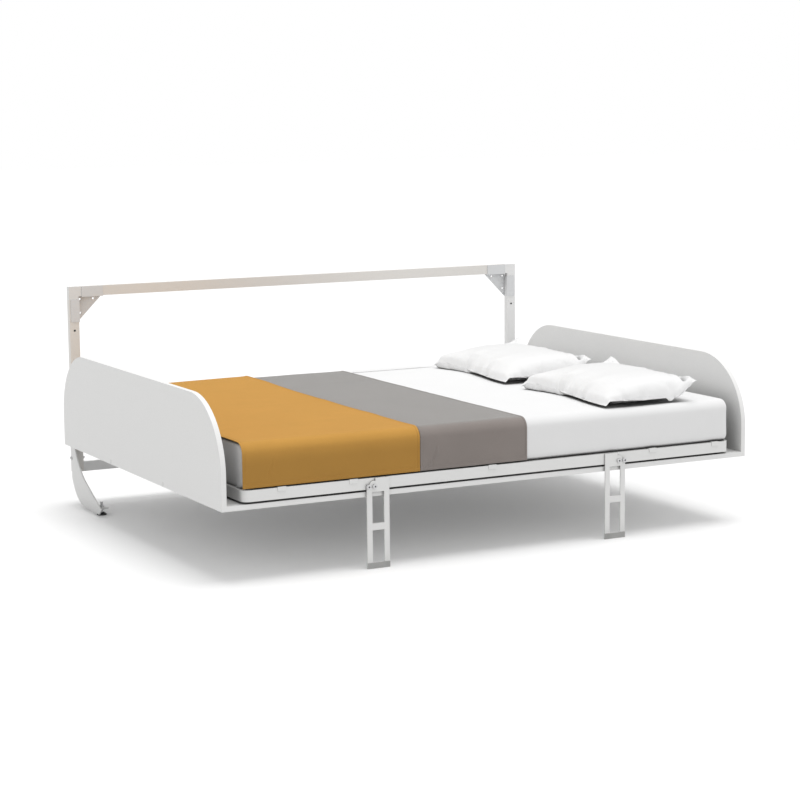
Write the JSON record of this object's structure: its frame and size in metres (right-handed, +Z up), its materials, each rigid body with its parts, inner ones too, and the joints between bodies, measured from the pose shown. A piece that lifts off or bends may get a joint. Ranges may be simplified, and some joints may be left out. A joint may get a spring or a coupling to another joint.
{
  "type": "side-opening wall bed",
  "caption": "Side-opening wall bed on a wall-fixed tube frame, with rounded side panels, drop-down front legs, gas struts, slats, mattress and bedding.",
  "frame": {"origin": "on the floor, in the middle of the open bed's footprint", "axes": "+X along the bed's length, +Y towards the wall, +Z up"},
  "size_m": [2.168, 1.676, 0.885],
  "materials": {
    "white_paint": "satin white powder coat",
    "white_board": "white laminate",
    "bright_steel": "zinc plated",
    "dark_plastic": "matt black",
    "bush_brass": "turned",
    "slat_wood": "bare beech",
    "strut_black": "satin black",
    "rod_chrome": "polished",
    "cap_grey": "matt grey",
    "mattress_cover": "knitted ticking",
    "sheet_white": "plain weave",
    "blanket_grey": "plain weave",
    "spread_orange": "plain weave",
    "pillow_white": "plain weave"
  },
  "bodies": {
    "wall_frame": {"left_post": "white_paint", "right_post": "white_paint", "top_rail": "white_paint", "lower_rail": "white_paint", "corner_block_left": "white_paint", "corner_block_right": "white_paint", "corner_bracket_left": "white_paint", "corner_bracket_right": "white_paint", "foot_blade_left": "white_paint", "foot_blade_right": "white_paint", "blade_bolts": "bright_steel", "levelling_screws": "bright_steel", "levelling_nuts": "bright_steel", "levelling_pads": "dark_plastic", "hinge_arm_left": "white_paint", "hinge_arm_right": "white_paint", "arm_bolts": "bright_steel", "pivot_bushes": "bush_brass", "strut_brackets": "bright_steel", "strut_bracket_screws": "bright_steel"},
    "strut_cylinder_left": {"strut_cylinder_left": "strut_black"},
    "strut_cylinder_right": {"strut_cylinder_right": "strut_black"},
    "strut_rod_left": {"strut_rod_left": "rod_chrome"},
    "strut_rod_right": {"strut_rod_right": "rod_chrome"},
    "bed": {"front_rail": "white_paint", "rear_rail": "white_paint", "end_rail_left": "white_paint", "end_rail_right": "white_paint", "frame_corners": "white_paint", "centre_beam": "white_paint", "cross_members": "white_paint", "slats": "slat_wood", "slat_holders": "dark_plastic", "mattress_clips": "white_paint", "board_front": "white_board", "board_middle": "white_board", "board_rear": "white_board", "board_spacers": "dark_plastic", "side_panel_left": "white_board", "side_panel_right": "white_board", "panel_brackets": "bright_steel", "panel_screws": "bright_steel", "pivot_plate_left": "white_paint", "pivot_plate_right": "white_paint", "pivot_plate_bolts": "bright_steel", "pivot_pins": "bright_steel", "leg_pivot_bolts": "bright_steel", "stop_pins": "bright_steel", "mattress": "mattress_cover", "fitted_sheet": "sheet_white", "grey_blanket": "blanket_grey", "orange_bedspread": "spread_orange", "pillow_back": "pillow_white", "pillow_front": "pillow_white"},
    "leg_left": {"leg_plate_left": "white_paint", "leg_foot_left": "cap_grey"},
    "leg_right": {"leg_plate_right": "white_paint", "leg_foot_right": "cap_grey"}
  },
  "joints": [
    {"name": "bed_fold", "type": "hinge", "parent": "wall_frame", "child": "bed", "pos_m": [0, 0.55, 0.35], "axis": [-1, 0, 0], "range_deg": [0, 90]},
    {"name": "leg_left_fold", "type": "hinge", "parent": "bed", "child": "leg_left", "pos_m": [-0.515, -0.828, 0.291], "axis": [0, -1, 0], "range_deg": [0, 90]},
    {"name": "leg_right_fold", "type": "hinge", "parent": "bed", "child": "leg_right", "pos_m": [0.498, -0.828, 0.291], "axis": [0, 1, 0], "range_deg": [0, 90]},
    {"name": "strut_swing_left", "type": "hinge", "parent": "wall_frame", "child": "strut_cylinder_left", "pos_m": [-1.027, 0.788, 0.44], "axis": [1, 0, 0], "range_deg": [0, 2.08]},
    {"name": "strut_swing_right", "type": "hinge", "parent": "wall_frame", "child": "strut_cylinder_right", "pos_m": [1.027, 0.788, 0.44], "axis": [1, 0, 0], "range_deg": [0, 2.08]},
    {"name": "strut_slide_left", "type": "slide", "parent": "strut_cylinder_left", "child": "strut_rod_left", "axis": [0, -0.8593, -0.5115], "range_m": [0, 0.09967]},
    {"name": "strut_slide_right", "type": "slide", "parent": "strut_cylinder_right", "child": "strut_rod_right", "axis": [0, -0.8593, -0.5115], "range_m": [0, 0.09967]}
  ],
  "couplings": [
    {"joint": "strut_swing_left", "follows": "bed_fold", "ratio": 0.022954},
    {"joint": "strut_swing_right", "follows": "bed_fold", "ratio": 0.022954},
    {"joint": "strut_slide_left", "follows": "bed_fold", "m_per_rad": 0.063423},
    {"joint": "strut_slide_right", "follows": "bed_fold", "m_per_rad": 0.063423}
  ]
}
